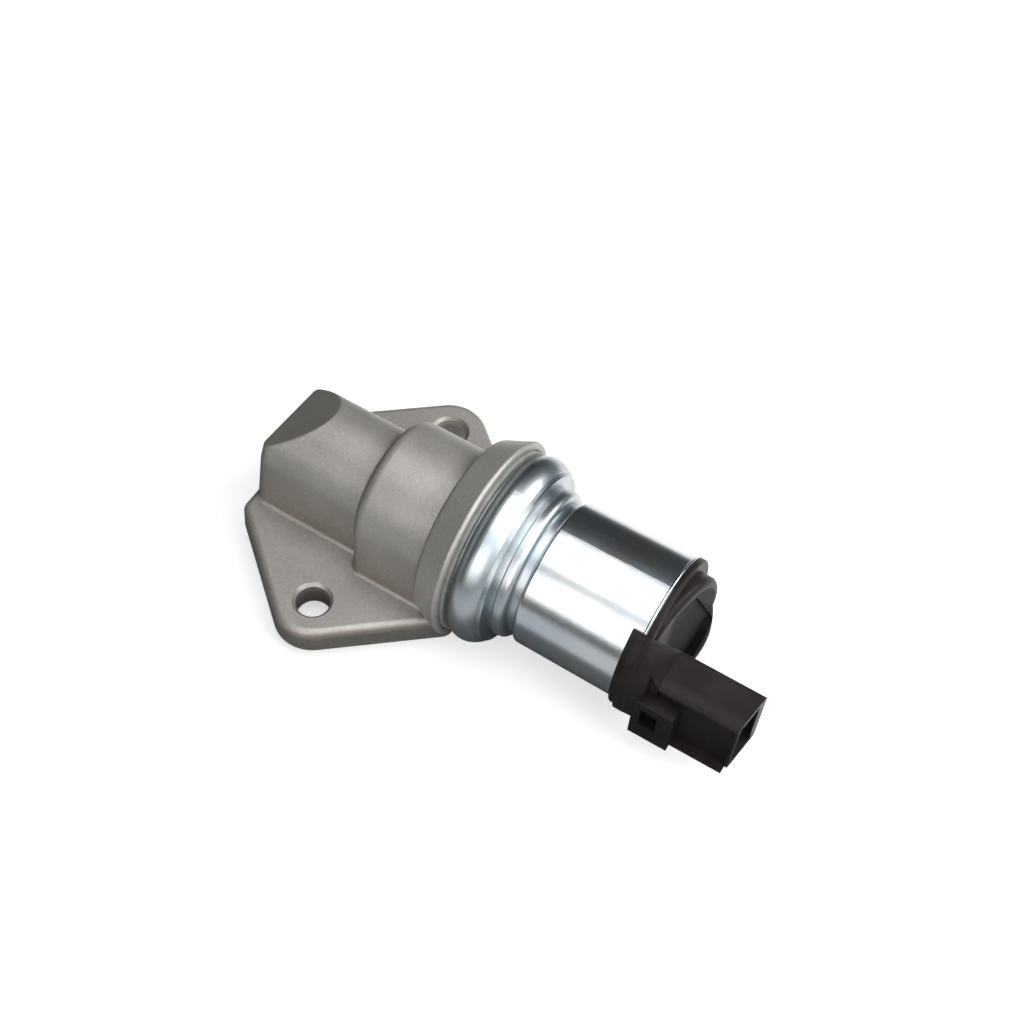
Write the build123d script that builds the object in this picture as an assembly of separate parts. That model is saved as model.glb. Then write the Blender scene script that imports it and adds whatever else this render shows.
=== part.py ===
from build123d import *
import math
import os

# Idle air control valve, in millimetres.
# X runs along the valve's axis towards the connector, Y through the two bolt holes and Z up from the
# mounting face. The origin lies on the mounting face, midway between the bolt holes.

# Mounting flange
flange_thickness = 6.6
flange_back = 28.15            # from the bolt line to the cut-off corner at the closed end
flange_front = 27.9            # from the bolt line to the cut-off corner under the collar
flange_edge_angle = 40.25      # between an edge's outward normal and the line of the bolts
flange_corner_radius = 8.95
flange_end_round = 3.0
flange_draft = 2.0
flange_top_round = 1.6
bolt_spacing = 56.0
bolt_hole_radius = 3.85
bolt_hole_chamfer = 0.75

# Cast body over the flange
axis_height = 18.9
arch_lift = 0.4                # the roof arches are struck from this far above the bore's axis
arch_draft = 2.3
small_arch_radius = 12.0
large_arch_radius = 16.25
large_arch_start = 1.9         # where the large arch begins
large_arch_round = 2.8
end_face_lean = 5.2
near_corner_round = 3.5         # the end face's upright corner on the connector's side
far_corner_round = 1.2
facet_edge_round = 0.6
facet_slope = 39.0
facet_low_x = -26.2            # a point on the sloped facet's lower edge
facet_rise = 2.6               # of that point above the valve's axis
base_fillet = 0.9              # where the bodies stand on the flange

# Collar that holds the solenoid
collar_start = 21.0
collar_length = 7.5
collar_radius = 23.4           # at the front, where the collar is widest
collar_taper = 2.9             # how much smaller the collar's back edge is
collar_rim_width = 0.9         # the straight band at the lip
collar_rim_round = 0.72
collar_back_round = 1.2
lip_wall = 1.5
recess_depth = 2.2
spigot_bore_radius = 14.5
spigot_bore_depth = 4.3

# Air passages
large_bore_radius = 12.5
seat_wall_start = -1.5
seat_wall_end = 5.0
seat_bore_radius = 6.5
small_bore_radius = 8.5
small_bore_depth = 12.5        # beyond the seat wall
bush_bore_radius = 4.0
bush_bore_depth = 6.0          # beyond the small bore
port_corner = 2.0
small_port_length = 10.0
small_port_width = 14.0
large_port_length = 13.0
large_port_width = 17.0
port_wall = 2.0                # between each port and the seat wall's near face

# Moving plunger
shaft_radius = 1.8
stroke = 4.0
rest_gap = 0.3                 # between the disc's seal and the seat at rest
end_bush_stand_out = 1.5
shaft_end_gap = 0.4
seat_ring_radius = 9.0
seat_ring_depth = 3.0
seat_ring_stand_out = 1.0
disc_radius = 9.4
disc_thickness = 2.6
disc_hub_radius = 3.6
disc_hub_length = 6.0
disc_hub_taper = 1.5
shaft_chamfer = 0.3
armature_chamfer = 0.5
disc_seal_inner = 6.3
disc_seal_outer = 8.7
disc_seal_thickness = 1.0
clip_thickness = 0.6
clip_radius = 3.4
clip_groove_depth = 0.5
armature_length = 16.0
armature_start_gap = 1.5       # between the guide tube's shoulder and the armature at rest
pole_gap = 0.6                 # left between the armature and the pole piece at full stroke
spring_seat_radius = 2.9
spring_seat_thickness = 1.2
spring_seat_pip_radius = 1.3
spring_seat_pip_length = 1.5
spring_radius = 2.2            # centre of the wire
spring_wire_radius = 0.3
spring_turns = 6
spring_wire_sides = 8

# Solenoid
base_disc_length = 3.4         # from the recess floor to the start of the bead
bead_radius = 22.15
bead_front_round = 3.7
bead_rear_round = 5.6
bead_front_length = 3.2        # from the bead's start to its highest line
bead_rear_length = 3.7         # from there to the groove
bead_groove_width = 0.35
bead_groove_depth = 0.5
bead_ridge_width = 0.6
bead_ridge_radius = 20.0
base_rear_radius = 16.9
base_rear_length = 1.05
body_seal_width = 1.9
body_seal_length = 2.9
body_seal_edge = 0.4
front_bush_radius = 4.5
yoke_ring_radius = 17.5
yoke_ring_length = 3.0
yoke_ring_rear_round = 1.6
yoke_ring_front_round = 0.5
yoke_spigot_radius = 15.3
yoke_spigot_length = 4.8
can_gap = 1.8                  # bare groove between the yoke ring and the can
can_length = 27.5
can_front_radius = 16.85
can_rear_radius = 17.15
can_front_round = 1.0
can_rim_radius = 17.45
can_rim_length = 0.5
can_wall = 1.5
tube_shoulder = 4.5            # how deep the guide tube sits in the base
tube_inner_radius = 6.2
tube_wall = 0.5
bobbin_wall = 1.1
bobbin_flange = 1.4
bobbin_flange_radius = 14.9
bobbin_length = 19.8
winding_radius = 14.0
rear_plate_thickness = 2.5
pole_spring_radius = 3.4
pole_spring_depth = 7.4
screw_radius = 2.5
screw_length = 4.8
screw_slot_width = 0.9
screw_slot_depth = 1.2

# End cap and connector
cap_ridge_radius = 17.6
cap_ridge_length = 1.4
cap_ridge_round = 0.6
cap_spigot_length = 1.8
cap_seal_section = 0.65
cap_groove_depth = 1.3
cap_boss_radius = 15.0
cap_boss_length = 1.9          # on the valve's axis; the boss's face leans
cap_boss_lean = 9.0
cap_boss_round = 1.5
cap_pocket_depth = 1.0
saddle_wall = 0.75
saddle_length = 4.3            # from the cap's face back over the can's rim
saddle_lip_length = 1.4        # the part of it that stands clear of the hood
saddle_top_angle = 128.0
saddle_bottom_angle = 232.0
hood_wall = 1.1                # round the can's rim
hood_low_round = 11.0
hood_high_round = 13.0
hood_length = 1.8              # the stretch of constant section
hood_blend_length = 5.8        # from there to the shroud's own section
shroud_side = 8.9              # from the valve's axis sideways to the shroud's middle
shroud_drop = 5.2              # from the valve's axis down to the shroud's middle
shroud_width = 10.6
shroud_height = 17.0
shroud_corner = 1.0
mouth_corner = 1 / 3           # inside the shroud
shroud_wall = 1.4
shroud_length = 23.2           # beyond the cap's face, at the near side
mouth_lean = 7.0
mouth_depth = 17.5
mouth_lip = 0.6
channel_depth = 0.8
channel_top_rim = 1.5
channel_lead = 1.5             # from the latch block's start to the channel's start
rail_height = 1.0
rail_reach = 1.5
latch_start = 1.0              # beyond the cap's face
latch_length = 9.3
latch_drop = 0.9               # below the shroud's underside
latch_height = 13.2
latch_reach = 2.8
latch_edge_round = 0.3
window_inset = 1.9
window_length = 4.0
window_rise = 4.9              # above the latch block's underside
window_height = 6.0
window_depth = 2.6
blade_width = 2.3
blade_thickness = 0.8
blade_pitch = 7.0
blade_reach = 10.0             # beyond the mouth's floor

# The corners of the shallow pocket in the cap's boss, across and up, as shares of the boss's radius
pocket_corners = [(-0.60, 0.57), (-0.17, 0.80), (0.30, 0.74), (0.86, -0.40), (0.27, -0.82), (-0.53, -0.60)]

# Clearances
seat_gap = 0.05                # round seats of pieces that don't move on each other
seal_gap = 0.2                 # round the outside of the body's seal
running_gap = 0.05             # shaft in its bushes, armature in its tube

# How far a cutting tool runs past the face that it cuts, and how near two places count as the same
cut_over = 1.0
same_place = 0.01

# Stations along the axis, worked out from the lengths
collar_end = collar_start + collar_length
recess_floor = collar_end - recess_depth
spigot_floor = recess_floor - spigot_bore_depth
small_bore_end = seat_wall_start - small_bore_depth
bush_bore_end = small_bore_end - bush_bore_depth
seat_face = seat_wall_end + seat_ring_stand_out
disc_face = seat_face + rest_gap
bead_start = recess_floor + base_disc_length
bead_peak = bead_start + bead_front_length
bead_groove = bead_peak + bead_rear_length
bead_end = bead_groove + bead_groove_width + bead_ridge_width
base_end = bead_end + base_rear_length
yoke_face = base_end + yoke_ring_length
yoke_end = yoke_face + yoke_spigot_length
can_start = yoke_face + can_gap
can_end = can_start + can_length
tube_start = base_end - tube_shoulder
bobbin_end = yoke_end + bobbin_length
plate_end = bobbin_end + rear_plate_thickness
armature_start = tube_start + armature_start_gap
armature_end = armature_start + armature_length
pole_start = armature_end + stroke + pole_gap
spring_start = armature_end + spring_seat_thickness
screw_start = pole_start + pole_spring_depth
cap_face = can_end + cap_ridge_length
boss_face = cap_face + cap_boss_length
near_end = cap_face + shroud_length
mouth_end = near_end + shroud_width * math.tan(math.radians(mouth_lean))
mouth_floor = near_end - mouth_depth
shaft_start = bush_bore_end + shaft_end_gap
shaft_end = armature_end
clip_start = disc_face + disc_seal_thickness + disc_thickness + disc_hub_length
recess_radius = collar_radius - lip_wall
body_seal_radius = recess_radius - seal_gap
base_disc_radius = body_seal_radius - body_seal_width - seat_gap
tube_outer_radius = tube_inner_radius + tube_wall
bobbin_bore_radius = tube_outer_radius + seat_gap
bobbin_barrel_radius = bobbin_bore_radius + bobbin_wall
shaft_bore_radius = shaft_radius + running_gap
can_inner_radius = yoke_spigot_radius + seat_gap
saddle_inner_radius = can_rim_radius + seat_gap
shroud_far_side = -shroud_side + shroud_width / 2
shroud_near_side = -shroud_side - shroud_width / 2
shroud_middle = axis_height - shroud_drop
shroud_bottom = shroud_middle - shroud_height / 2
shroud_top = shroud_middle + shroud_height / 2
latch_bottom = shroud_bottom - latch_drop
latch_side = shroud_near_side - latch_reach

valve_axis = Axis((0, 0, axis_height), (1, 0, 0))


# A solid of revolution about the valve's axis from (x, radius) points
def turned(*points):
    corners = [(x, 0, axis_height + radius) for x, radius in points]
    return revolve(make_face(Polyline(*corners, close=True)), valve_axis, 360)


# A cylinder about the valve's axis
def rod(start, end, radius):
    return Plane((start, 0, axis_height), x_dir=(0, 1, 0), z_dir=(1, 0, 0)) * Cylinder(
        radius, end - start, align=(Align.CENTER, Align.CENTER, Align.MIN)
    )


# A block between two corners
def block(low, high):
    size = [b - a for a, b in zip(low, high)]
    middle = [(a + b) / 2 for a, b in zip(low, high)]
    return Pos(*middle) * Box(*size)


# A plane across the valve's axis whose x runs along Y and whose y runs along Z
def section_plane(x):
    return Plane((x, 0, 0), x_dir=(0, 1, 0), z_dir=(1, 0, 0))


# The flange's outline: two corner arcs about the bolt holes, four straight edges that leave them
# tangentially, and two blunt corners on the valve's axis
def flange_outline():
    angle = math.radians(flange_edge_angle)
    hole = bolt_spacing / 2
    reach = hole * math.cos(angle) + flange_corner_radius

    def edge_y(x):
        return (reach - x * math.sin(angle)) / math.cos(angle)

    touch_x = flange_corner_radius * math.sin(angle)
    touch_y = hole + flange_corner_radius * math.cos(angle)
    tip = hole + flange_corner_radius
    back = (-flange_back, edge_y(flange_back))
    front = (flange_front, edge_y(flange_front))
    outline = [
        Line(back, (back[0], -back[1])),
        Line((back[0], -back[1]), (-touch_x, -touch_y)),
        ThreePointArc((-touch_x, -touch_y), (0, -tip), (touch_x, -touch_y)),
        Line((touch_x, -touch_y), (front[0], -front[1])),
        Line((front[0], -front[1]), front),
        Line(front, (touch_x, touch_y)),
        ThreePointArc((touch_x, touch_y), (0, tip), (-touch_x, touch_y)),
        Line((-touch_x, touch_y), back),
    ]
    face = make_face(outline)
    blunt = [v for v in face.vertices() if abs(v.X) > touch_x + 1]
    return fillet(blunt, flange_end_round)


def flange():
    plate = extrude(flange_outline(), flange_thickness, taper=flange_draft)
    top_edges = plate.faces().sort_by(Axis.Z)[-1].edges()
    return fillet(top_edges, flange_top_round)


# An arch over drafted sides, drawn across the axis and standing on the mounting face
def arch_face(x, radius):
    draft = math.radians(arch_draft)
    centre = axis_height + arch_lift
    shoulder_y = radius * math.cos(draft)
    shoulder_z = centre + radius * math.sin(draft)
    foot_y = (radius + centre * math.sin(draft)) / math.cos(draft)
    outline = [
        Line((-foot_y, 0), (-shoulder_y, shoulder_z)),
        ThreePointArc((-shoulder_y, shoulder_z), (0, centre + radius), (shoulder_y, shoulder_z)),
        Line((shoulder_y, shoulder_z), (foot_y, 0)),
        Line((foot_y, 0), (-foot_y, 0)),
    ]
    return section_plane(x) * make_face(outline)


# The small arch, with its leaning end face, the sloped facet and the end face's rounded corners
def small_body():
    start = -flange_back - flange_thickness
    arch = extrude(arch_face(start, small_arch_radius), large_arch_start + large_arch_round - start)
    lean = math.radians(end_face_lean)
    end_plane = Plane((-flange_back, 0, 0), x_dir=(0, 1, 0), z_dir=(-math.cos(lean), 0, math.sin(lean)))
    arch = split(arch, end_plane, keep=Keep.BOTTOM)
    slope = math.radians(facet_slope)
    facet_plane = Plane(
        (facet_low_x, 0, axis_height + facet_rise), x_dir=(0, 1, 0), z_dir=(-math.sin(slope), 0, math.cos(slope))
    )
    arch = split(arch, facet_plane, keep=Keep.BOTTOM)
    end_face = arch.faces().sort_by(Axis.X)[0]
    sides = end_face.edges().filter_by(lambda e: abs(e.center().Y) > small_arch_radius / 2)
    arch = fillet(sides.sort_by(Axis.Y)[0], near_corner_round)
    end_face = arch.faces().sort_by(Axis.X)[0]
    arch = fillet(end_face.edges().sort_by(Axis.Y)[-1], far_corner_round)
    facet = max(arch.faces(), key=lambda f: f.normal_at().dot(facet_plane.z_dir))
    return fillet(facet.edges(), facet_edge_round)


def large_body():
    arch = extrude(arch_face(large_arch_start, large_arch_radius), recess_floor - large_arch_start)
    front = arch.faces().sort_by(Axis.X)[0]
    rim = [e for e in front.edges() if e.center().Z > flange_thickness]
    return fillet(rim, large_arch_round)


# The collar widens towards its lip, and its foot ends at the mounting face
def collar():
    shoulder = collar_end - collar_rim_width
    cone = turned(
        (collar_start, 0),
        (collar_start, collar_radius - collar_taper),
        (shoulder, collar_radius),
        (collar_end, collar_radius),
        (collar_end, 0),
    )
    rims = cone.edges().filter_by(GeomType.CIRCLE).sort_by(Axis.X)
    cone = fillet(rims[-1], collar_rim_round)
    cone = fillet(cone.edges().filter_by(GeomType.CIRCLE).sort_by(Axis.X)[0], collar_back_round)
    below = block(
        (collar_start - cut_over, -collar_radius, -collar_radius),
        (collar_end + cut_over, collar_radius, 0),
    )
    return cone - below


# A port from the mounting face up into a bore
def port(start, length, width):
    outline = Pos(start + length / 2, 0, 0) * RectangleRounded(length, width, port_corner)
    return extrude(outline, axis_height)


def valve_body():
    body = flange() + small_body() + large_body() + collar()
    foot = [
        e for e in body.edges()
        if abs(e.center().Z - flange_thickness) < same_place and e.length > base_fillet
        and abs(e.center().Y) < large_arch_radius + 2 * base_fillet
        and e.center().X < collar_start - base_fillet
        and e.center().X > -flange_back
    ]
    body = fillet(foot, base_fillet)
    bores = turned(
        (bush_bore_end, 0),
        (bush_bore_end, bush_bore_radius),
        (small_bore_end, bush_bore_radius),
        (small_bore_end, small_bore_radius),
        (seat_wall_start, small_bore_radius),
        (seat_wall_start, seat_bore_radius),
        (seat_wall_end - seat_ring_depth, seat_bore_radius),
        (seat_wall_end - seat_ring_depth, seat_ring_radius),
        (seat_wall_end, seat_ring_radius),
        (seat_wall_end, large_bore_radius),
        (spigot_floor, large_bore_radius),
        (spigot_floor, spigot_bore_radius),
        (recess_floor, spigot_bore_radius),
        (recess_floor, recess_radius),
        (collar_end + cut_over, recess_radius),
        (collar_end + cut_over, 0),
    )
    body -= bores
    body -= port(seat_wall_start - port_wall - small_port_length, small_port_length, small_port_width)
    body -= port(seat_wall_end + port_wall, large_port_length, large_port_width)
    for side in (-1, 1):
        hole = Pos(0, side * bolt_spacing / 2, 0)
        body -= hole * Cylinder(bolt_hole_radius, 3 * flange_thickness)
        body -= hole * Pos(0, 0, flange_thickness - bolt_hole_chamfer) * Cone(
            bolt_hole_radius,
            bolt_hole_radius + bolt_hole_chamfer,
            bolt_hole_chamfer,
            align=(Align.CENTER, Align.CENTER, Align.MIN),
        )
    return body


def seat_ring():
    start = seat_wall_end - seat_ring_depth
    outer = seat_ring_radius - seat_gap
    rim = seat_ring_stand_out
    return turned(
        (start, seat_bore_radius),
        (start, outer),
        (seat_wall_end, outer),
        (seat_face, outer - rim),
        (seat_face, seat_bore_radius),
    )


def end_bush():
    start = bush_bore_end
    end = small_bore_end + end_bush_stand_out
    return rod(start, end, bush_bore_radius - seat_gap) - rod(start, end, shaft_bore_radius)


def front_bush():
    end = tube_start
    return rod(spigot_floor, end, front_bush_radius) - rod(spigot_floor, end, shaft_bore_radius)


def body_seal():
    inner = base_disc_radius + seat_gap
    end = recess_floor + body_seal_length
    ring = rod(recess_floor, end, body_seal_radius) - rod(recess_floor, end, inner)
    outer_edges = ring.edges().filter_by(GeomType.CIRCLE).group_by(SortBy.RADIUS)[-1]
    return chamfer(outer_edges, body_seal_edge)


def valve_shaft():
    shaft = rod(shaft_start, shaft_end, shaft_radius)
    shaft = chamfer(shaft.edges().filter_by(GeomType.CIRCLE), shaft_chamfer)
    groove = rod(clip_start, clip_start + clip_thickness, shaft_radius + cut_over)
    groove -= rod(clip_start, clip_start + clip_thickness, shaft_radius - clip_groove_depth)
    return shaft - groove


def valve_disc():
    face = disc_face + disc_seal_thickness / 2
    back = face + disc_thickness
    hub_end = clip_start
    seal_floor = disc_face + disc_seal_thickness
    return turned(
        (face, shaft_radius),
        (face, disc_seal_inner),
        (seal_floor, disc_seal_inner),
        (seal_floor, disc_seal_outer),
        (face, disc_seal_outer),
        (face, disc_radius),
        (back, disc_radius),
        (back + disc_hub_taper, disc_hub_radius),
        (hub_end, disc_hub_radius),
        (hub_end, shaft_radius),
    )


def disc_seal():
    end = disc_face + disc_seal_thickness
    return rod(disc_face, end, disc_seal_outer) - rod(disc_face, end, disc_seal_inner)


def disc_clip():
    end = clip_start + clip_thickness
    ring = rod(clip_start, end, clip_radius) - rod(clip_start, end, shaft_radius - clip_groove_depth)
    mouth = shaft_radius - clip_groove_depth
    return ring - block(
        (clip_start - cut_over, -mouth, axis_height),
        (end + cut_over, mouth, axis_height + clip_radius + cut_over),
    )


def armature():
    radius = tube_inner_radius - running_gap
    body = rod(armature_start, armature_end, radius)
    body = chamfer(body.edges().filter_by(GeomType.CIRCLE), armature_chamfer)
    return body - rod(armature_start, armature_end, shaft_radius)


def spring_seat():
    cup = rod(armature_end, spring_start, spring_seat_radius)
    return cup + rod(spring_start, spring_start + spring_seat_pip_length, spring_seat_pip_radius)


def return_spring():
    length = screw_start - spring_start - 2 * spring_wire_radius
    pitch = length / spring_turns
    path = Helix(pitch, length, spring_radius)
    start = path @ 0
    wire = Plane(start, z_dir=path % 0) * RegularPolygon(spring_wire_radius, spring_wire_sides)
    coil = sweep(wire, path, is_frenet=True)
    return Plane(
        (spring_start + spring_wire_radius, 0, axis_height), x_dir=(0, 1, 0), z_dir=(1, 0, 0)
    ) * coil


def solenoid_base():
    front_drop = bead_front_round - math.sqrt(bead_front_round**2 - bead_front_length**2)
    rear_drop = bead_rear_round - math.sqrt(bead_rear_round**2 - bead_rear_length**2)
    front_middle = bead_front_length / 2
    rear_middle = bead_rear_length / 2
    front_middle_drop = bead_front_round - math.sqrt(bead_front_round**2 - front_middle**2)
    rear_middle_drop = bead_rear_round - math.sqrt(bead_rear_round**2 - rear_middle**2)
    rear_radius = bead_radius - rear_drop

    def at(x, radius):
        return (x, 0, axis_height + radius)

    outline = [
        Polyline(
            at(spigot_floor, front_bush_radius + seat_gap),
            at(spigot_floor, spigot_bore_radius - seat_gap),
            at(recess_floor, spigot_bore_radius - seat_gap),
            at(recess_floor, base_disc_radius),
            at(bead_start, base_disc_radius),
            at(bead_start, bead_radius - front_drop),
        ),
        ThreePointArc(
            at(bead_start, bead_radius - front_drop),
            at(bead_peak - front_middle, bead_radius - front_middle_drop),
            at(bead_peak, bead_radius),
        ),
        ThreePointArc(
            at(bead_peak, bead_radius),
            at(bead_peak + rear_middle, bead_radius - rear_middle_drop),
            at(bead_groove, rear_radius),
        ),
        Polyline(
            at(bead_groove, rear_radius),
            at(bead_groove, rear_radius - bead_groove_depth),
            at(bead_groove + bead_groove_width, rear_radius - bead_groove_depth),
            at(bead_groove + bead_groove_width, bead_ridge_radius),
            at(bead_end, bead_ridge_radius),
            at(bead_end, base_rear_radius),
            at(base_end, base_rear_radius),
            at(base_end, tube_outer_radius + seat_gap),
            at(tube_start, tube_outer_radius + seat_gap),
            at(tube_start, front_bush_radius + seat_gap),
            at(spigot_floor, front_bush_radius + seat_gap),
        ),
    ]
    return revolve(make_face(outline), valve_axis, 360)


def yoke_ring():
    ring = rod(base_end, yoke_face, yoke_ring_radius)
    ring_edges = ring.edges().filter_by(GeomType.CIRCLE).sort_by(Axis.X)
    ring = fillet(ring_edges[-1], yoke_ring_rear_round)
    ring_edges = ring.edges().filter_by(GeomType.CIRCLE).sort_by(Axis.X)
    ring = fillet(ring_edges[0], yoke_ring_front_round)
    ring += rod(yoke_face - yoke_ring_rear_round, yoke_end, yoke_spigot_radius)
    return ring - rod(base_end, yoke_end, tube_outer_radius + seat_gap)


def solenoid_can():
    rim_start = can_end - can_rim_length
    shell = turned(
        (can_start, can_inner_radius),
        (can_start, can_front_radius),
        (rim_start, can_rear_radius),
        (rim_start, can_rim_radius),
        (can_end, can_rim_radius),
        (can_end, can_inner_radius),
    )
    front = shell.edges().filter_by(GeomType.CIRCLE).group_by(Axis.X)[0].sort_by(SortBy.RADIUS)[-1]
    return fillet(front, can_front_round)


def guide_tube():
    return rod(tube_start, plate_end, tube_outer_radius) - rod(tube_start, plate_end, tube_inner_radius)


def bobbin():
    start = yoke_end
    end = bobbin_end
    return turned(
        (start, bobbin_bore_radius),
        (start, bobbin_flange_radius),
        (start + bobbin_flange, bobbin_flange_radius),
        (start + bobbin_flange, bobbin_barrel_radius),
        (end - bobbin_flange, bobbin_barrel_radius),
        (end - bobbin_flange, bobbin_flange_radius),
        (end, bobbin_flange_radius),
        (end, bobbin_bore_radius),
    )


def coil_winding():
    start = yoke_end + bobbin_flange
    end = bobbin_end - bobbin_flange
    return rod(start, end, winding_radius) - rod(start, end, bobbin_barrel_radius)


def rear_plate():
    plate = rod(bobbin_end, plate_end, can_inner_radius - seat_gap)
    return plate - rod(bobbin_end, plate_end, tube_outer_radius + seat_gap)


def pole_piece():
    core = rod(pole_start, plate_end, tube_inner_radius - seat_gap)
    core -= rod(pole_start, screw_start, pole_spring_radius)
    return core - rod(pole_start, plate_end, screw_radius + seat_gap)


def adjusting_screw():
    screw = rod(screw_start, screw_start + screw_length, screw_radius)
    end = screw_start + screw_length
    slot = block(
        (end - screw_slot_depth, -screw_radius, axis_height - screw_slot_width / 2),
        (end + cut_over, screw_radius, axis_height + screw_slot_width / 2),
    )
    return screw - slot


def can_seal():
    outer = can_inner_radius - seat_gap
    inner = outer - 2 * cap_seal_section
    middle = can_end - cap_spigot_length / 2
    corner = cap_seal_section / 2
    return turned(
        (middle - cap_seal_section, inner + corner),
        (middle - cap_seal_section, outer - corner),
        (middle - corner, outer),
        (middle + corner, outer),
        (middle + cap_seal_section, outer - corner),
        (middle + cap_seal_section, inner + corner),
        (middle + corner, inner),
        (middle - corner, inner),
    )


# A face across the axis from corners (y, z, rounding)
def rounded_face(x, *corners):
    face = make_face(Polyline(*[(y, z) for y, z, rounding in corners], close=True))
    for y, z, rounding in corners:
        if rounding > 0:
            corner = face.vertices().sort_by_distance((y, z, 0))[0]
            face = fillet(corner, rounding)
    return section_plane(x) * face


# The shroud's outline, shrunk by a margin. Its far side has one more point, for the hood to join.
def shroud_face(x, margin=0.0):
    near, far = shroud_near_side + margin, shroud_far_side - margin
    bottom, top = shroud_bottom + margin, shroud_top - margin
    corner = max(shroud_corner - margin, mouth_corner)
    return rounded_face(
        x,
        (near, bottom, corner),
        (far, bottom, corner),
        (far, shroud_middle, 0),
        (far, top, corner),
        (near, top, corner),
    )


# The hood's outline where it leaves the can: round the rim on the near side, up to a sloping far side
def hood_face(x):
    reach = saddle_inner_radius + hood_wall
    crest = math.radians(saddle_top_angle)
    shoulder = axis_height + reach * math.tan((math.pi - crest) / 2)
    return rounded_face(
        x,
        (-reach, shroud_bottom, hood_low_round),
        (shroud_far_side, shroud_bottom, shroud_corner),
        (shroud_far_side, axis_height + hood_wall, 0),
        (reach * math.cos(crest), axis_height + reach * math.sin(crest), hood_wall),
        (-reach, shoulder, hood_high_round),
    )


# Where the two blades stand in the connector
def blade_places():
    return [
        (-shroud_side, shroud_middle - blade_pitch / 2),
        (-shroud_side, shroud_middle + blade_pitch / 2),
    ]


def terminal(place):
    y, z = place
    start = can_end - cap_spigot_length
    return block(
        (start, y - blade_thickness / 2, z - blade_width / 2),
        (mouth_floor + blade_reach, y + blade_thickness / 2, z + blade_width / 2),
    )


# The moulded hood that leads from the can's rim into the shroud
def hood():
    start = cap_face - saddle_length + saddle_lip_length
    middle = start + hood_length
    straight = loft([hood_face(start), hood_face(middle)], ruled=True)
    blend = loft([hood_face(middle), shroud_face(middle + hood_blend_length)])
    return straight + blend


# A lip round the near side of the can
def saddle():
    start = cap_face - saddle_length
    outer = saddle_inner_radius + saddle_wall
    ring = rod(start, cap_face, outer)
    low, high = math.radians(saddle_top_angle), math.radians(saddle_bottom_angle)
    reach = 2 * outer
    wedge = section_plane(start) * Pos(0, axis_height) * make_face(
        Polyline(
            (0, 0),
            (reach * math.cos(low), reach * math.sin(low)),
            (-reach, 0),
            (reach * math.cos(high), reach * math.sin(high)),
            close=True,
        )
    )
    return ring & extrude(wedge, saddle_length)


# The boss on the cap's face, lower towards the connector, with its shallow pocket
def boss():
    lean = math.radians(cap_boss_lean)
    top = Plane(
        (boss_face, 0, axis_height),
        x_dir=(math.sin(lean), math.cos(lean), 0),
        z_dir=(math.cos(lean), -math.sin(lean), 0),
    )
    dome = rod(can_end - cap_spigot_length, boss_face + cap_boss_radius, cap_boss_radius)
    dome = split(dome, top, keep=Keep.BOTTOM)
    dome = fillet(dome.faces().sort_by(Axis.X)[-1].edges(), cap_boss_round)
    corners = [(across * cap_boss_radius, up * cap_boss_radius) for across, up in pocket_corners]
    pocket = top.offset(-cap_pocket_depth) * make_face(Polyline(*corners, close=True))
    return dome - extrude(pocket, cap_pocket_depth + cut_over)


# The latch block stands on the near side, with a window for the plug's catch
def latch_block():
    start = cap_face + latch_start
    body = block(
        (start, latch_side, latch_bottom),
        (start + latch_length, shroud_near_side + shroud_wall, latch_bottom + latch_height),
    )
    outer = body.faces().sort_by(Axis.Y)[0]
    body = fillet(outer.edges(), latch_edge_round)
    window_start = start + window_inset
    window_bottom = latch_bottom + window_rise
    return body - block(
        (window_start, latch_side - cut_over, window_bottom),
        (window_start + window_length, latch_side + window_depth, window_bottom + window_height),
    )


def end_cap():
    ridge = rod(can_end, cap_face, cap_ridge_radius)
    ridge = fillet(ridge.edges().filter_by(GeomType.CIRCLE).sort_by(Axis.X)[-1], cap_ridge_round)
    spigot_radius = can_inner_radius - seat_gap
    spigot = rod(can_end - cap_spigot_length, can_end, spigot_radius)
    shroud = extrude(shroud_face(cap_face), mouth_end + cut_over - cap_face)

    # near side: channel under the top edge, latch block and bottom rail
    channel_start = cap_face + latch_start + channel_lead
    shroud -= block(
        (channel_start, shroud_near_side - cut_over, shroud_bottom + rail_height),
        (near_end - mouth_lip, shroud_near_side + channel_depth, shroud_top - channel_top_rim),
    )
    shroud += block(
        (cap_face + latch_start, shroud_near_side - rail_reach, shroud_bottom),
        (near_end - mouth_lip, shroud_near_side + shroud_wall, shroud_bottom + rail_height),
    )
    skirt = saddle() + hood() - rod(can_start, can_end, saddle_inner_radius)
    beside_shroud = block(
        (channel_start, -2 * cap_ridge_radius, 0), (mouth_end, shroud_near_side, 2 * axis_height)
    )
    cap = ridge + spigot + boss() + (skirt - beside_shroud) + shroud + latch_block()

    # inside: mouth, seal groove and the blades' slots
    cap -= extrude(shroud_face(mouth_floor, shroud_wall), mouth_depth + cut_over)
    lean = math.radians(mouth_lean)
    mouth_plane = Plane(
        (near_end, shroud_near_side, 0), x_dir=(0, 0, 1), z_dir=(math.cos(lean), -math.sin(lean), 0)
    )
    cap = split(cap, mouth_plane, keep=Keep.BOTTOM)
    groove_middle = can_end - cap_spigot_length / 2
    groove_half = cap_seal_section + seat_gap
    groove_start, groove_end = groove_middle - groove_half, groove_middle + groove_half
    groove = rod(groove_start, groove_end, can_inner_radius)
    cap -= groove - rod(groove_start, groove_end, spigot_radius - cap_groove_depth)
    for place in blade_places():
        cap -= terminal(place)
    return cap


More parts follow.
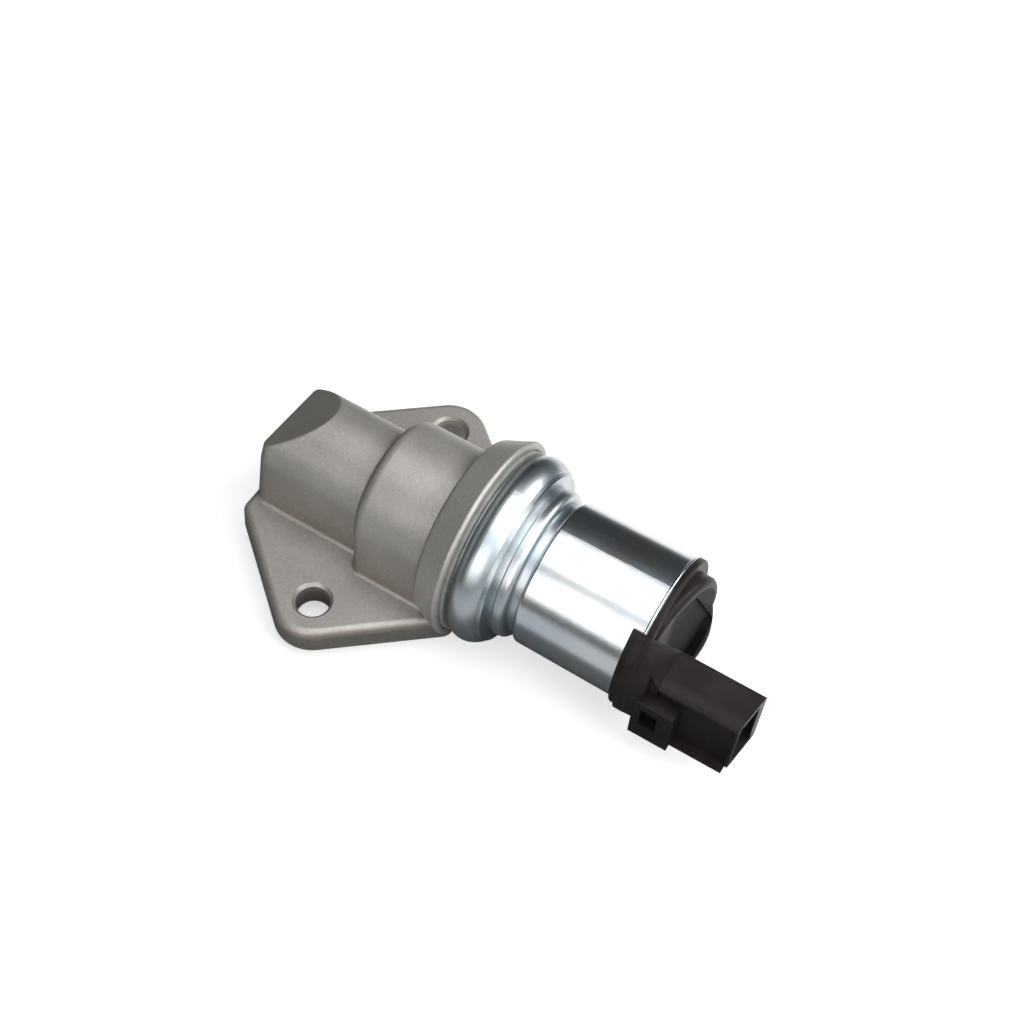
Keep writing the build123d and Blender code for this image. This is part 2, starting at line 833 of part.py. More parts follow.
nodes = {
    "valve_body": valve_body(),
    "seat_ring": seat_ring(),
    "end_bush": end_bush(),
    "body_seal": body_seal(),
    "valve_shaft": valve_shaft(),
    "valve_disc": valve_disc(),
    "disc_seal": disc_seal(),
    "disc_clip": disc_clip(),
    "armature": armature(),
    "spring_seat": spring_seat(),
    "return_spring": return_spring(),
    "solenoid_base": solenoid_base(),
    "front_bush": front_bush(),
    "yoke_ring": yoke_ring(),
    "solenoid_can": solenoid_can(),
    "guide_tube": guide_tube(),
    "bobbin": bobbin(),
    "coil_winding": coil_winding(),
    "rear_plate": rear_plate(),
    "pole_piece": pole_piece(),
    "adjusting_screw": adjusting_screw(),
    "can_seal": can_seal(),
    "end_cap": end_cap(),
    "terminal_left": terminal(blade_places()[0]),
    "terminal_right": terminal(blade_places()[1]),
}

os.makedirs("parts", exist_ok=True)
for name, shape in nodes.items():
    export_step(shape, f"parts/{name}.step")
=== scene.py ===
import math
import bmesh
import bpy
from mathutils import Matrix, Vector


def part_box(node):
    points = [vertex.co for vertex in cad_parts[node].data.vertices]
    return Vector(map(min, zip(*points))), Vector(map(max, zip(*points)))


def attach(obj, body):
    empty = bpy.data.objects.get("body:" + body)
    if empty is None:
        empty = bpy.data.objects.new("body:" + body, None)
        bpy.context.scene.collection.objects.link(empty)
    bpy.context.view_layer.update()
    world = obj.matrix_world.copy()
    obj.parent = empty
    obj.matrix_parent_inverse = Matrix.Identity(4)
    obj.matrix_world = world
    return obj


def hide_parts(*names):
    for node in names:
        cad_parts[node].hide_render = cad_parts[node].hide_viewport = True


# Idle air control valve: finishes, small shapes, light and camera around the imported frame.
# Lengths are in metres. X runs along the valve's axis to the connector and Z is up.

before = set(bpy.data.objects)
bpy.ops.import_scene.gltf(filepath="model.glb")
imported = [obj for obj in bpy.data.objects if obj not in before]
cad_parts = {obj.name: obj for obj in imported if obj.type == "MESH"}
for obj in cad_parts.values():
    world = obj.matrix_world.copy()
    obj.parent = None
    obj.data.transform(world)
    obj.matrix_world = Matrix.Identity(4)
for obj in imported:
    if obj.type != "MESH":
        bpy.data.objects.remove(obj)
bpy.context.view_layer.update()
mm = 0.001
axisHeight = 18.9 * mm
samePlace = 0.0005 * mm


def report(stage):
    print("scene:", stage)


# one output socket of a material's tree, so that shader maths reads as plain maths
class Wire:
    def __init__(self, paint, socket):
        self.paint = paint
        self.socket = socket

    def __add__(self, other):
        return self.paint.maths("ADD", self, other)

    def __sub__(self, other):
        return self.paint.maths("SUBTRACT", self, other)

    def __mul__(self, other):
        return self.paint.maths("MULTIPLY", self, other)

    def __rsub__(self, other):
        return self.paint.maths("SUBTRACT", other, self)

    def __neg__(self):
        return self.paint.maths("MULTIPLY", self, -1.0)

    __radd__ = __add__
    __rmul__ = __mul__


# a material and the few calls that its recipes need
class Paint:
    def __init__(self, name, **constants):
        self.material = bpy.data.materials.new(name)
        self.material.use_nodes = True
        self.tree = self.material.node_tree
        self.shader = self.tree.nodes["Principled BSDF"]
        for socket, value in constants.items():
            self.shader.inputs[socket.replace("_", " ")].default_value = value

    def plug(self, target, value):
        if isinstance(value, Wire):
            self.tree.links.new(value.socket, target)
        else:
            target.default_value = value

    def node(self, kind, settings=None, sockets=None, out=0):
        made = self.tree.nodes.new("ShaderNode" + kind)
        for key, value in (settings or {}).items():
            if key == "stops":
                ramp = made.color_ramp
                while len(ramp.elements) < len(value):
                    ramp.elements.new(0.5)
                for element, (place, colour) in zip(ramp.elements, value):
                    element.position = place
                    element.color = (*colour, 1.0)
            else:
                setattr(made, key, value)
        for key, value in (sockets or {}).items():
            self.plug(made.inputs[key], value)
        return Wire(self, made.outputs[out])

    def maths(self, operation, *values, clamp=False):
        settings = {"operation": operation, "use_clamp": clamp}
        return self.node("Math", settings, dict(enumerate(values)))

    def spot(self):
        return self.node("TexCoord", out="Object")

    def split(self, vector):
        made = self.tree.nodes.new("ShaderNodeSeparateXYZ")
        self.plug(made.inputs[0], vector)
        return [Wire(self, made.outputs[i]) for i in range(3)]

    def noise(self, place, scale, detail=3.0, roughness=0.5, stretch=None):
        if stretch:
            place = self.node("Mapping", None, {"Vector": place, "Scale": stretch})
        sockets = {"Vector": place, "Scale": scale, "Detail": detail, "Roughness": roughness}
        return self.node("TexNoise", None, sockets)

    # 0 below low, 1 above high
    def step(self, value, low, high):
        sockets = {"Value": value, "From Min": low, "From Max": high}
        return self.node("MapRange", {"interpolation_type": "SMOOTHSTEP"}, sockets)

    def mix(self, factor, a, b):
        settings = {"data_type": "RGBA", "clamp_factor": True}
        made = self.tree.nodes.new("ShaderNodeMix")
        for key, value in settings.items():
            setattr(made, key, value)
        self.plug(made.inputs[0], factor)
        for index, value in ((6, a), (7, b)):
            self.plug(made.inputs[index], value if isinstance(value, Wire) else (*value, 1.0))
        return Wire(self, made.outputs[2])

    def bump(self, height, distance, strength=1.0, after=None):
        sockets = {"Height": height, "Distance": distance, "Strength": strength}
        if after:
            sockets["Normal"] = after
        return self.node("Bump", None, sockets)

    def feed(self, socket, value):
        self.plug(self.shader.inputs[socket], value)


# the object's own coordinates, and the distance from the valve's axis
def polar(paint):
    x, y, z = paint.split(paint.spot())
    up = z - axisHeight
    radius = paint.maths("SQRT", y * y + up * up)
    return x, y, z, radius


castLook = {
    "colour": (0.37, 0.356, 0.336),
    "dark": (0.31, 0.297, 0.279),
    "warmShade": (0.31, 0.262, 0.228),
    "shade": (0.17, 0.163, 0.154),
    "wall": (0.2, 0.19, 0.178),
    "collarColour": (0.36, 0.352, 0.336),
    "bright": (0.62, 0.61, 0.59),
    "milled": (0.5, 0.49, 0.47),
    "metallic": 0.55,
    "roughness": 0.45,
    "grainScale": 3400.0,
    "grainHeight": 0.045 * mm,
    "gritScale": 1900.0,
    "gritHeight": 0.06 * mm,
    "cloudScale": 110.0,
    "collarRadius": (20.6 * mm, 21.2 * mm),
    "collarStart": (20.4 * mm, 21.0 * mm),
    "collarShadeFade": (0.0, 13.0 * mm),
    "underside": (0.05 * mm, 0.2 * mm),
    "flangeWall": (4.0 * mm, 5.0 * mm),
    "aboveFlange": (4.2 * mm, 5.2 * mm),
    "lowFade": (6.0 * mm, 20.0 * mm),
    "flatFacing": (0.45, 0.85),
    "awayFacing": (0.3, 0.75),
    "awayRise": (5.0 * mm, 6.0 * mm),
    "awayAmount": 0.5,
    "creaseShadeStart": (0.7 * mm, 1.5 * mm),
    "creaseShadeEnd": (2.2 * mm, 3.2 * mm),
    "creaseShadeRise": (8.5 * mm, 11.0 * mm),
}


# sand-textured die casting, milled underneath. Its sides are warmer low down, a painted warm shade where
# light bounces off the flange, and shade is painted on its steep flange walls, fading up the collar, on
# what faces -X and where the two arches meet, as the light falls there.
def castAluminium():
    look = castLook
    paint = Paint("cast_aluminium", Metallic=look["metallic"], Specular_IOR_Level=0.5)
    x, y, z, radius = polar(paint)
    place = paint.spot()
    fine = paint.noise(place, look["grainScale"], 2.0, 0.6)
    grit = paint.noise(place, look["gritScale"], 3.0, 0.65)
    cloud = paint.noise(place, look["cloudScale"], 3.0, 0.5)
    facing = paint.split(paint.node("NewGeometry", out="Normal"))
    collar = paint.step(radius, *look["collarRadius"]) * paint.step(x, *look["collarStart"])
    under = 1 - paint.step(z, *look["underside"])
    upright = 1 - paint.step(paint.maths("ABSOLUTE", facing[2]), *look["flatFacing"])
    low = (1 - paint.step(z, *look["lowFade"])) * paint.step(z, *look["aboveFlange"]) * upright
    # painted shade on the steep flange walls, where little light reaches them
    wallShade = upright * (1 - paint.step(z, *look["flangeWall"]))
    colour = paint.mix(paint.step(cloud, 0.3, 0.7) * 0.6, look["colour"], look["dark"])
    # painted warm shade on the lower sides, for light bounced off the flange
    colour = paint.mix(low * 0.75, colour, look["warmShade"])
    away = paint.step(-facing[0], *look["awayFacing"]) * paint.step(z, *look["awayRise"])
    colour = paint.mix(away * look["awayAmount"], colour, look["shade"])
    # painted shade in the crease where the two arches meet
    creaseShade = paint.step(x, *look["creaseShadeStart"]) * (1 - paint.step(x, *look["creaseShadeEnd"]))
    colour = paint.mix(creaseShade * paint.step(z, *look["creaseShadeRise"]) * 0.8, colour, look["shade"])
    colour = paint.mix(wallShade, colour, look["wall"])
    # the collar's own colour fades in upwards, so the painted shade stays dark at its foot and fades
    # towards its top
    colour = paint.mix(collar * paint.step(z, *look["collarShadeFade"]), colour, look["collarColour"])
    colour = paint.mix(paint.step(grit, 0.56, 0.76) * 0.42, colour, look["bright"])
    # dark grit specks take the same dark colour as the painted wall shade
    colour = paint.mix(paint.step(grit, 0.46, 0.28) * 0.5, colour, look["wall"])
    colour = paint.mix(under, colour, look["milled"])
    paint.feed("Base Color", colour)
    paint.feed("Roughness", look["roughness"] + (fine - 0.5) * 0.16 - under * 0.18)
    grain = paint.bump(fine, look["grainHeight"], 0.55)
    paint.feed("Normal", paint.bump(grit, look["gritHeight"], 0.5, grain))
    return paint.material


zincLooks = {
    "zinc_plate": dict(colour=(0.6, 0.62, 0.63), tint=(0.5, 0.56, 0.62), roughness=0.24),
    "satin_zinc": dict(colour=(0.5, 0.522, 0.535), tint=(0.38, 0.44, 0.48), roughness=0.33),
}


# zinc plate on drawn steel: faint lines round the axis, soft blotches and a blue cast
def zincPlate(name):
    look = zincLooks[name]
    paint = Paint(name, Metallic=1.0)
    x, y, z, radius = polar(paint)
    place = paint.spot()
    lines = paint.noise(place, 220.0, 4.0, 0.6, (30.0, 1.0, 1.0))
    blotch = paint.noise(place, 90.0, 3.0, 0.55)
    speck = paint.noise(place, 1500.0, 2.0, 0.6)
    colour = paint.mix(paint.step(blotch, 0.35, 0.7), look["colour"], look["tint"])
    paint.feed("Base Color", colour)
    paint.feed("Roughness", look["roughness"] + (blotch - 0.5) * 0.12 + (speck - 0.5) * 0.1)
    scratched = paint.bump(lines, 0.02 * mm, 0.25)
    paint.feed("Normal", paint.bump(speck, 0.025 * mm, 0.5, scratched))
    return paint.material


plasticLook = {
    "colour": (0.0115, 0.0093, 0.0087),
    "worn": (0.0185, 0.0152, 0.0144),
    "roughness": 0.42,
    "pocket": (0.003, 0.0026, 0.0025),
    "pocketStart": (72.6 * mm, 73.2 * mm),
    "pocketRadius": (12.6 * mm, 13.4 * mm),
    "pocketSide": (-3.55 * mm, -3.4 * mm),
}


# black plastic with a fine moulded grain, with a painted shade over the boss for the shade in a dark
# hollow that the shape lacks
def blackPlastic():
    look = plasticLook
    paint = Paint("black_plastic", Specular_IOR_Level=0.12)
    place = paint.spot()
    grain = paint.noise(place, 3200.0, 2.0, 0.6)
    flow = paint.noise(place, 130.0, 4.0, 0.6)
    x, y, z, radius = polar(paint)
    # painted shade over the boss's face, for the shade inside a deeper hollow
    pocket = paint.step(x, *look["pocketStart"]) * (1 - paint.step(radius, *look["pocketRadius"]))
    pocket = pocket * paint.step(y, *look["pocketSide"])
    colour = paint.mix(paint.step(flow, 0.35, 0.75), look["colour"], look["worn"])
    paint.feed("Base Color", paint.mix(pocket, colour, look["pocket"]))
    paint.feed("Roughness", look["roughness"] + (flow - 0.5) * 0.16 + pocket * 0.2)
    paint.feed("Normal", paint.bump(grain, 0.03 * mm, 0.35))
    return paint.material


plainLooks = {
    "plain_steel": dict(colour=(0.45, 0.45, 0.45), other=(0.36, 0.36, 0.37), metal=1.0, rough=0.28),
    "seat_metal": dict(colour=(0.6, 0.59, 0.57), other=(0.5, 0.49, 0.47), metal=1.0, rough=0.25),
    "bearing_bronze": dict(colour=(0.5, 0.33, 0.15), other=(0.4, 0.25, 0.1), metal=1.0, rough=0.35),
    "copper_wire": dict(colour=(0.56, 0.2, 0.07), other=(0.42, 0.13, 0.04), metal=1.0, rough=0.25),
    "spool_plastic": dict(colour=(0.5, 0.44, 0.33), other=(0.44, 0.38, 0.28), metal=0.0, rough=0.5),
    "green_rubber": dict(colour=(0.2, 0.205, 0.19), other=(0.15, 0.155, 0.14), metal=0.0, rough=0.6),
    "black_rubber": dict(colour=(0.018, 0.018, 0.018), other=(0.03, 0.03, 0.03), metal=0.0, rough=0.6),
    "tinned_brass": dict(colour=(0.62, 0.6, 0.55), other=(0.5, 0.48, 0.43), metal=1.0, rough=0.2),
}


# turned or moulded small pieces: lines round the axis and two close tones
def plainPaint(name):
    look = plainLooks[name]
    paint = Paint(name, Metallic=look["metal"])
    place = paint.spot()
    lines = paint.noise(place, 260.0, 3.0, 0.6, (25.0, 1.0, 1.0))
    cloud = paint.noise(place, 400.0, 3.0, 0.6)
    paint.feed("Base Color", paint.mix(paint.step(cloud, 0.3, 0.7), look["colour"], look["other"]))
    paint.feed("Roughness", look["rough"] + (cloud - 0.5) * 0.15)
    paint.feed("Normal", paint.bump(lines, 0.02 * mm, 0.3))
    return paint.material


def dress(node, material):
    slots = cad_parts[node].data.materials
    slots.clear()
    slots.append(material)


report("finishes")
zinc = zincPlate("zinc_plate")
satinZinc = zincPlate("satin_zinc")
dress("solenoid_can", zinc)
dress("solenoid_base", satinZinc)
dress("yoke_ring", satinZinc)

paintFor = {
    "seat_ring": "seat_metal",
    "end_bush": "bearing_bronze",
    "front_bush": "bearing_bronze",
    "body_seal": "green_rubber",
    "can_seal": "black_rubber",
    "disc_seal": "black_rubber",
    "bobbin": "spool_plastic",
    "coil_winding": "copper_wire",
    "terminal_left": "tinned_brass",
    "terminal_right": "tinned_brass",
    "valve_shaft": "plain_steel",
    "valve_disc": "plain_steel",
    "disc_clip": "plain_steel",
    "armature": "plain_steel",
    "spring_seat": "plain_steel",
    "return_spring": "plain_steel",
    "guide_tube": "plain_steel",
    "rear_plate": "plain_steel",
    "pole_piece": "plain_steel",
    "adjusting_screw": "plain_steel",
}
plainMaterials = {name: plainPaint(name) for name in plainLooks}
for node, name in paintFor.items():
    dress(node, plainMaterials[name])


# a surface's direction after its points are moved
def turned(move, place, facing):
    reach = 10 * samePlace
    steps = [Vector((reach, 0, 0)), Vector((0, reach, 0)), Vector((0, 0, reach))]
    sides = [(move(place + step) - move(place - step)) / (2 * reach) for step in steps]
    return (Matrix(sides).inverted_safe() @ facing).normalized()


# a node's own mesh with its points moved a little, where the photo shows a softer or steeper form
def reshape(node, name, move, material):
    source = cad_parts[node].data
    work = bmesh.new()
    work.from_mesh(source)
    kept = work.loops.layers.float_vector.new("facing")
    corners = [corner for face in work.faces for corner in face.loops]
    for corner, normal in zip(corners, source.corner_normals):
        place = corner.vert.co
        moved = (move(place) - place).length > 2 * samePlace
        corner[kept] = turned(move, place, normal.vector) if moved else normal.vector
    bmesh.ops.remove_doubles(work, verts=work.verts, dist=samePlace)
    for point in work.verts:
        point.co = move(point.co)
    mesh = bpy.data.meshes.new(name)
    work.to_mesh(mesh)
    work.free()
    mesh.shade_smooth()
    mesh.normals_split_custom_set([value.vector for value in mesh.attributes["facing"].data])
    mesh.attributes.remove(mesh.attributes["facing"])
    mesh.materials.append(material)
    made = bpy.data.objects.new(name, mesh)
    bpy.context.collection.objects.link(made)
    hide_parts(node)
    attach(made, "housing")


# the sloped facet: the plane that the source has, and the one that the photo shows
facetSet = {
    "low": (-26.2 * mm, 21.5 * mm),
    "slope": 39.0,
    "crest": 31.3 * mm,
    "archCentre": 19.3 * mm,
    "archRadius": 12.0 * mm,
    "near": 0.75 * mm,
    "end": -12.0 * mm,
    "newStart": -58.84 * mm,
    "newSlope": 1.44,
    "newLean": 0.16,
    "edgeRise": 1.25 * mm,
    "edgeLean": 0.1186,
}


def archHalfWidth(z):
    look = facetSet
    return math.sqrt(max(look["archRadius"] ** 2 - (z - look["archCentre"]) ** 2, 1e-12))


def moveFacet(place):
    look = facetSet
    lowX, lowZ = look["low"]
    angle = math.radians(look["slope"])
    above = -(place.x - lowX) * math.sin(angle) + (place.z - lowZ) * math.cos(angle)
    if above < -look["near"] or place.x > look["end"] or place.z < lowZ - look["near"]:
        return place
    share = (look["crest"] - place.z) / (look["crest"] - lowZ)
    z = place.z + share * (look["edgeRise"] - look["edgeLean"] * place.y)
    y = place.y * archHalfWidth(z) / archHalfWidth(place.z)
    planeX = lowX + (place.z - lowZ) / math.tan(angle)
    newPlaneX = look["newStart"] + look["newSlope"] * z + look["newLean"] * y
    return Vector((newPlaneX + place.x - planeX, y, z))


# the cap's boss ramps up at its foot, and the shroud's top edge on the near side is a broad round
capSet = {
    "face": 72.3 * mm,
    "bossRise": 3.5 * mm,
    "bossEnd": 77.5 * mm,
    "bossNear": -13.0 * mm,
    "bossRadius": 15.05 * mm,
    "rampTop": 15.9 * mm,
    "ramp": 0.37,
    "shroudNear": -14.2 * mm,
    "shroudTop": 22.2 * mm,
    "edge": 1.0 * mm,
    "softAcross": 3.4 * mm,
    "softDown": 1.4 * mm,
    "softStart": 74.0 * mm,
    "softFull": 77.0 * mm,
    "mouth": 95.3 * mm,
    "mouthLean": 7.0,
}


def moveCap(place):
    look = capSet
    x, y, z = place
    offAxis = math.hypot(y, z - axisHeight)
    onBoss = look["face"] + 0.05 * mm < x < look["bossEnd"] and offAxis < look["bossRadius"]
    if onBoss and y > look["bossNear"]:
        share = min(1.0, (x - look["face"]) / look["bossRise"])
        return Vector((x + max(0.0, look["rampTop"] - z) * look["ramp"] * share, y, z))
    centreY, centreZ = look["shroudNear"] + look["edge"], look["shroudTop"] - look["edge"]
    atCorner = y < centreY + 0.02 * mm and z > centreZ - 0.02 * mm and y > look["shroudNear"] - 0.02 * mm
    if x < look["softStart"] or not atCorner or z > look["shroudTop"] + 0.02 * mm:
        return place
    full = min(1.0, (x - look["softStart"]) / (look["softFull"] - look["softStart"]))
    softY = look["shroudNear"] + look["softAcross"] * (1 - (centreY - y) / look["edge"])
    softZ = look["shroudTop"] - look["softDown"] * (1 - (z - centreZ) / look["edge"])
    newY = y + full * (softY - y)
    if x > look["mouth"]:
        x += (newY - y) * math.tan(math.radians(look["mouthLean"]))
    return Vector((x, newY, z + full * (softZ - z)))


report("casting and cap")
castMaterial = castAluminium()
capMaterial = blackPlastic()
dress("valve_body", castMaterial)
dress("end_cap", capMaterial)
reshape("valve_body", "cast_body", moveFacet, castMaterial)
reshape("end_cap", "moulded_cap", moveCap, capMaterial)


# a Geometry Nodes tree with named inputs, grown once and kept as a plain mesh
class Sprout:
    kinds = {float: "NodeSocketFloat", int: "NodeSocketInt"}

    def __init__(self, name, settings):
        self.name = name
        self.settings = settings
        self.tree = bpy.data.node_groups.new(name, "GeometryNodeTree")
        for key, value in settings.items():
            self.tree.interface.new_socket(name=key, in_out="INPUT", socket_type=self.kinds[type(value)])
        self.tree.interface.new_socket(name="shape", in_out="OUTPUT", socket_type="NodeSocketGeometry")
        self.inputs = self.tree.nodes.new("NodeGroupInput")

    def given(self, key):
        return self.inputs.outputs[key]

    def node(self, kind, settings=None, sockets=None, out=0):
        made = self.tree.nodes.new(kind)
        for key, value in (settings or {}).items():
            setattr(made, key, value)
        for key, value in (sockets or {}).items():
            if isinstance(value, bpy.types.NodeSocket):
                self.tree.links.new(value, made.inputs[key])
            else:
                made.inputs[key].default_value = value
        return made.outputs[out]

    def grow(self, shape, material):
        real = self.node("GeometryNodeRealizeInstances", None, {"Geometry": shape})
        dressed = self.node("GeometryNodeSetMaterial", None, {"Geometry": real, "Material": material})
        end = self.tree.nodes.new("NodeGroupOutput")
        self.tree.links.new(dressed, end.inputs["shape"])
        made = bpy.data.objects.new(self.name, bpy.data.meshes.new(self.name))
        bpy.context.collection.objects.link(made)
        modifier = made.modifiers.new("grow", "NODES")
        modifier.node_group = self.tree
        for socket in self.tree.interface.items_tree:
            if socket.in_out == "INPUT":
                modifier[socket.identifier] = self.settings[socket.name]
        made.update_tag()
        grown = made.evaluated_get(bpy.context.evaluated_depsgraph_get())
        mesh = bpy.data.meshes.new_from_object(grown)
        made.modifiers.remove(modifier)
        made.data = mesh
        mesh.name = self.name
        return made


coilSet = {
    "wire radius": 0.2 * mm,
    "pitch": 0.42 * mm,
    "sink": 0.1 * mm,
    "steps": 36,
    "sides": 6,
}


# the winding's outer layer of turns, laid on the plain ring that stands for the layers under it
def windCoil():
    low, high = (Vector(corner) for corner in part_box("coil_winding"))
    wire = coilSet["wire radius"]
    length = high.x - low.x - 2 * wire
    settings = {
        "turns": length / coilSet["pitch"],
        "length": length,
        "radius": (high.y - low.y) / 2 + wire - coilSet["sink"],
        "wire radius": wire,
        "steps": coilSet["steps"],
        "sides": coilSet["sides"],
    }
    sprout = Sprout("coil_turns", settings)
    path = sprout.node("GeometryNodeCurveSpiral", None, {
        "Resolution": sprout.given("steps"),
        "Rotations": sprout.given("turns"),
        "Start Radius": sprout.given("radius"),
        "End Radius": sprout.given("radius"),
        "Height": sprout.given("length"),
    })
    section = sprout.node("GeometryNodeCurvePrimitiveCircle", None, {
        "Resolution": sprout.given("sides"),
        "Radius": sprout.given("wire radius"),
    })
    tube = sprout.node("GeometryNodeCurveToMesh", None, {
        "Curve": path, "Profile Curve": section, "Fill Caps": True,
    })
    laid = sprout.node("GeometryNodeTransform", None, {
        "Geometry": tube,
        "Translation": (low.x + wire, (low.y + high.y) / 2, (low.z + high.z) / 2),
        "Rotation": (0.0, math.pi / 2, 0.0),
    })
    turns = sprout.grow(laid, plainMaterials["copper_wire"])
    for face in turns.data.polygons:
        face.use_smooth = True
    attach(turns, "housing")


report("coil")
windCoil()


rimSet = {
    "place": 70.5 * mm,
    "radius": 17.4 * mm,
    "thickness": 0.36 * mm,
    "steps": 144,
    "sides": 12,
}


# the can's rolled edge against the cap, a fine bright line in the photo
def rollRim():
    look = rimSet
    bpy.ops.mesh.primitive_torus_add(
        major_radius=look["radius"],
        minor_radius=look["thickness"],
        major_segments=look["steps"],
        minor_segments=look["sides"],
    )
    rim = bpy.context.object
    rim.name = "rolled_rim"
    centre = Matrix.Translation((look["place"], 0, axisHeight))
    rim.data.transform(centre @ Matrix.Rotation(math.pi / 2, 4, "Y"))
    rim.data.shade_smooth()
    rim.data.materials.append(zinc)
    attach(rim, "housing")


report("rim")
rollRim()


# camera at the photo's place: direction, roll, distance and lens solved from the photo
cameraSet = {
    "azimuth": 27.05,
    "elevation": 54.98,
    "roll": 5.32,
    "target": (29.5 * mm, 5.0 * mm, 25.01 * mm),
    "distance": 367.05 * mm,
    "lens": 60.0,
    "sensor": 36.0,
}


def placeCamera():
    look = cameraSet
    a = math.radians(look["azimuth"])
    e = math.radians(look["elevation"])
    r = math.radians(look["roll"])
    back = Vector((math.sin(a) * math.cos(e), -math.cos(a) * math.cos(e), math.sin(e)))
    flat = Vector((math.cos(a), math.sin(a), 0))
    up = back.cross(flat)
    right = math.cos(r) * flat + math.sin(r) * up
    top = math.cos(r) * up - math.sin(r) * flat
    data = bpy.data.cameras.new("camera")
    data.lens = look["lens"]
    data.sensor_width = look["sensor"]
    data.clip_start = 0.01
    camera = bpy.data.objects.new("camera", data)
    camera.matrix_world = Matrix.Translation(Vector(look["target"]) + look["distance"] * back) @ Matrix(
        (right, top, back)
    ).transposed().to_4x4()
    bpy.context.collection.objects.link(camera)
    bpy.context.scene.camera = camera


# how much of a ray is one that should see the plain white background
def seenFactor(tree):
    rays = tree.nodes.new("ShaderNodeLightPath")
    total = rays.outputs["Is Camera Ray"]
    for name in ("Is Glossy Ray", "Is Transmission Ray"):
        larger = tree.nodes.new("ShaderNodeMath")
        larger.operation = "MAXIMUM"
        tree.links.new(total, larger.inputs[0])
        tree.links.new(rays.outputs[name], larger.inputs[1])
        total = larger.outputs[0]
    return total


stageSet = {
    "floorHeight": -3.3 * mm,
    "size": 3.0,
    "colour": (0.6, 0.6, 0.6, 1.0),
    "glow": 0.58,
    "farGlow": (1.73, 1.73, 1.73),
    "worldPlain": 0.1,
}


# a quad from corners, hidden from all but reflections where asked
def panel(name, corners, material, seen=True):
    mesh = bpy.data.meshes.new(name)
    mesh.from_pydata(corners, [], [tuple(range(len(corners)))])
    mesh.materials.append(material)
    made = bpy.data.objects.new(name, mesh)
    made.visible_camera = seen
    if not seen:
        made.visible_shadow = False
        made.visible_diffuse = False
    bpy.context.collection.objects.link(made)


# a white floor that camera and reflections see at full white, and that still takes shadow
def placeFloor():
    look = stageSet
    half = look["size"] / 2
    level = look["floorHeight"]
    paint = Paint("floor", Roughness=0.9, Specular_IOR_Level=0.1, Base_Color=look["colour"])
    x, y, z = paint.split(paint.spot())
    far = paint.step(paint.maths("SQRT", x * x + y * y), 0.3, 1.0)
    paint.feed("Emission Color", paint.mix(far, (1.0, 1.0, 1.0), look["farGlow"]))
    glow = Wire(paint, seenFactor(paint.tree)) * look["glow"]
    paint.feed("Emission Strength", glow)
    corners = [(-half, -half, level), (half, -half, level), (half, half, level), (-half, half, level)]
    panel("floor", corners, paint.material)


# grey cards and mats round a small white table, as a studio sets them up for metal; only reflections see
# them. Each is a strip through (y, z) or (x, z) points, as wide as its span along the other direction.
matHeight = -3.1 * mm
cardTint = (0.97, 1.0, 1.03)
cardSet = {
    "farCard": dict(along="x", span=(-1.3, 1.3), tone=0.07,
                    line=[(0.12, matHeight), (0.75, matHeight), (0.72, 0.3), (0.26, 0.56)]),
    # tableShade: a dark mat under and just in front of the object, a painted shadow that reflections see
    # in place of the object's shadow on the table
    "tableShade": dict(along="x", span=(-0.2, 0.3), tone=0.13,
                       line=[(0.0, matHeight), (-0.045, matHeight)]),
    "tableNear": dict(along="x", span=(-1.3, 1.3), tone=0.55,
                      line=[(-0.045, matHeight), (-0.2, matHeight)]),
    "nearCard": dict(along="x", span=(-1.3, 1.3), tone=0.1,
                     line=[(-0.2, matHeight), (-0.76, matHeight), (-0.76, 0.13)]),
    "sideCard": dict(along="y", span=(-0.6, 0.6), tone=0.06,
                     line=[(-0.04, matHeight), (-0.36, matHeight), (-0.36, 0.45), (-0.15, 0.58)]),
}


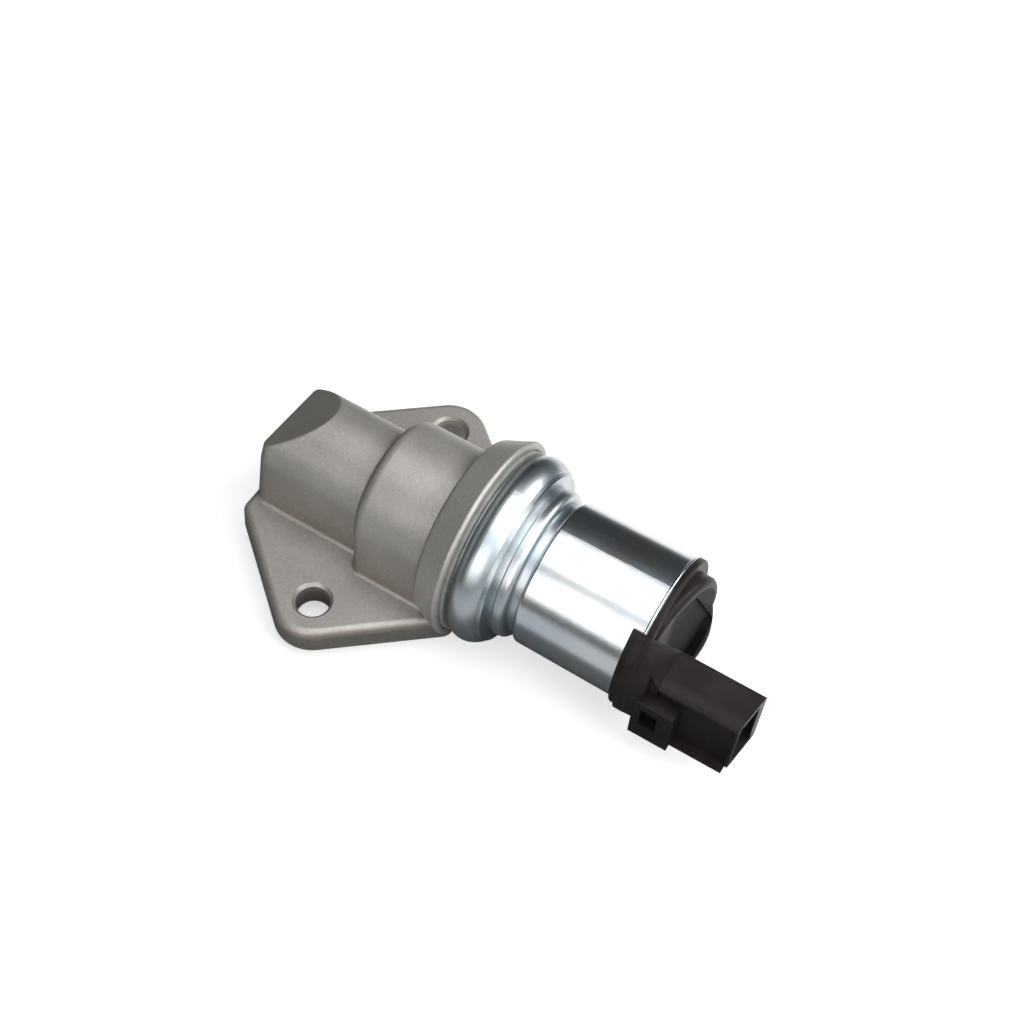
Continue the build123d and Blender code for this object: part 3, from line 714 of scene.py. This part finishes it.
def placeCards():
    for name, card in cardSet.items():
        paint = Paint(name, Roughness=0.9, Specular_IOR_Level=0.0)
        paint.feed("Base Color", (*(card["tone"] * part for part in cardTint), 1.0))
        start, end = card["span"]
        for index, (low, high) in enumerate(zip(card["line"], card["line"][1:])):
            ring = [(start, *low), (end, *low), (end, *high), (start, *high)]
            if card["along"] == "y":
                ring = [(x, along, z) for along, x, z in ring]
            panel(f"{name}{index}", ring, paint.material, seen=False)


# two soft boxes side by side over the object, with a narrow gap between them, and small ones behind it
# and at the connector's end
lightSet = [
    dict(name="over", place=(0.16, -0.005, 0.5), size=(0.6, 0.45), power=1.95,
         aim=(0.16, -0.005, 0.0)),
    dict(name="near", place=(0.15, -0.54, 0.335), size=(0.58, 0.45), power=1.45,
         aim=(0.15, -0.17, -0.003)),
    dict(name="back", place=(0.4, 0.42, 0.42), size=(0.3, 0.3), power=3.1, aim=(0.03, 0.0, 0.02)),
    dict(name="side", place=(0.58, -0.05, 0.42), size=(0.3, 0.3), power=1.7, aim=(0.03, 0.0, 0.02)),
]
lampColour = (1.0, 0.995, 0.985)


def placeLights():
    for look in lightSet:
        data = bpy.data.lights.new(look["name"], "AREA")
        data.shape = "RECTANGLE"
        data.size, data.size_y = look["size"]
        data.energy = look["power"]
        data.color = lampColour
        lamp = bpy.data.objects.new(look["name"], data)
        lamp.location = look["place"]
        aim = Vector(look["aim"]) - lamp.location
        lamp.rotation_euler = aim.to_track_quat("-Z", "Y").to_euler()
        bpy.context.collection.objects.link(lamp)


# a world that the camera and reflections see as white and that lights the object plainly
def placeWorld():
    world = bpy.data.worlds.new("studio")
    bpy.context.scene.world = world
    world.use_nodes = True
    tree = world.node_tree
    background = tree.nodes["Background"]
    background.inputs["Color"].default_value = (1, 1, 1, 1)
    amount = tree.nodes.new("ShaderNodeMapRange")
    amount.inputs["To Min"].default_value = stageSet["worldPlain"]
    amount.inputs["To Max"].default_value = 1.0
    tree.links.new(seenFactor(tree), amount.inputs["Value"])
    tree.links.new(amount.outputs["Result"], background.inputs["Strength"])


report("camera and stage")
placeCamera()
placeFloor()
placeCards()
placeLights()
placeWorld()
bpy.context.scene.view_settings.view_transform = "Standard"

report("sizes")
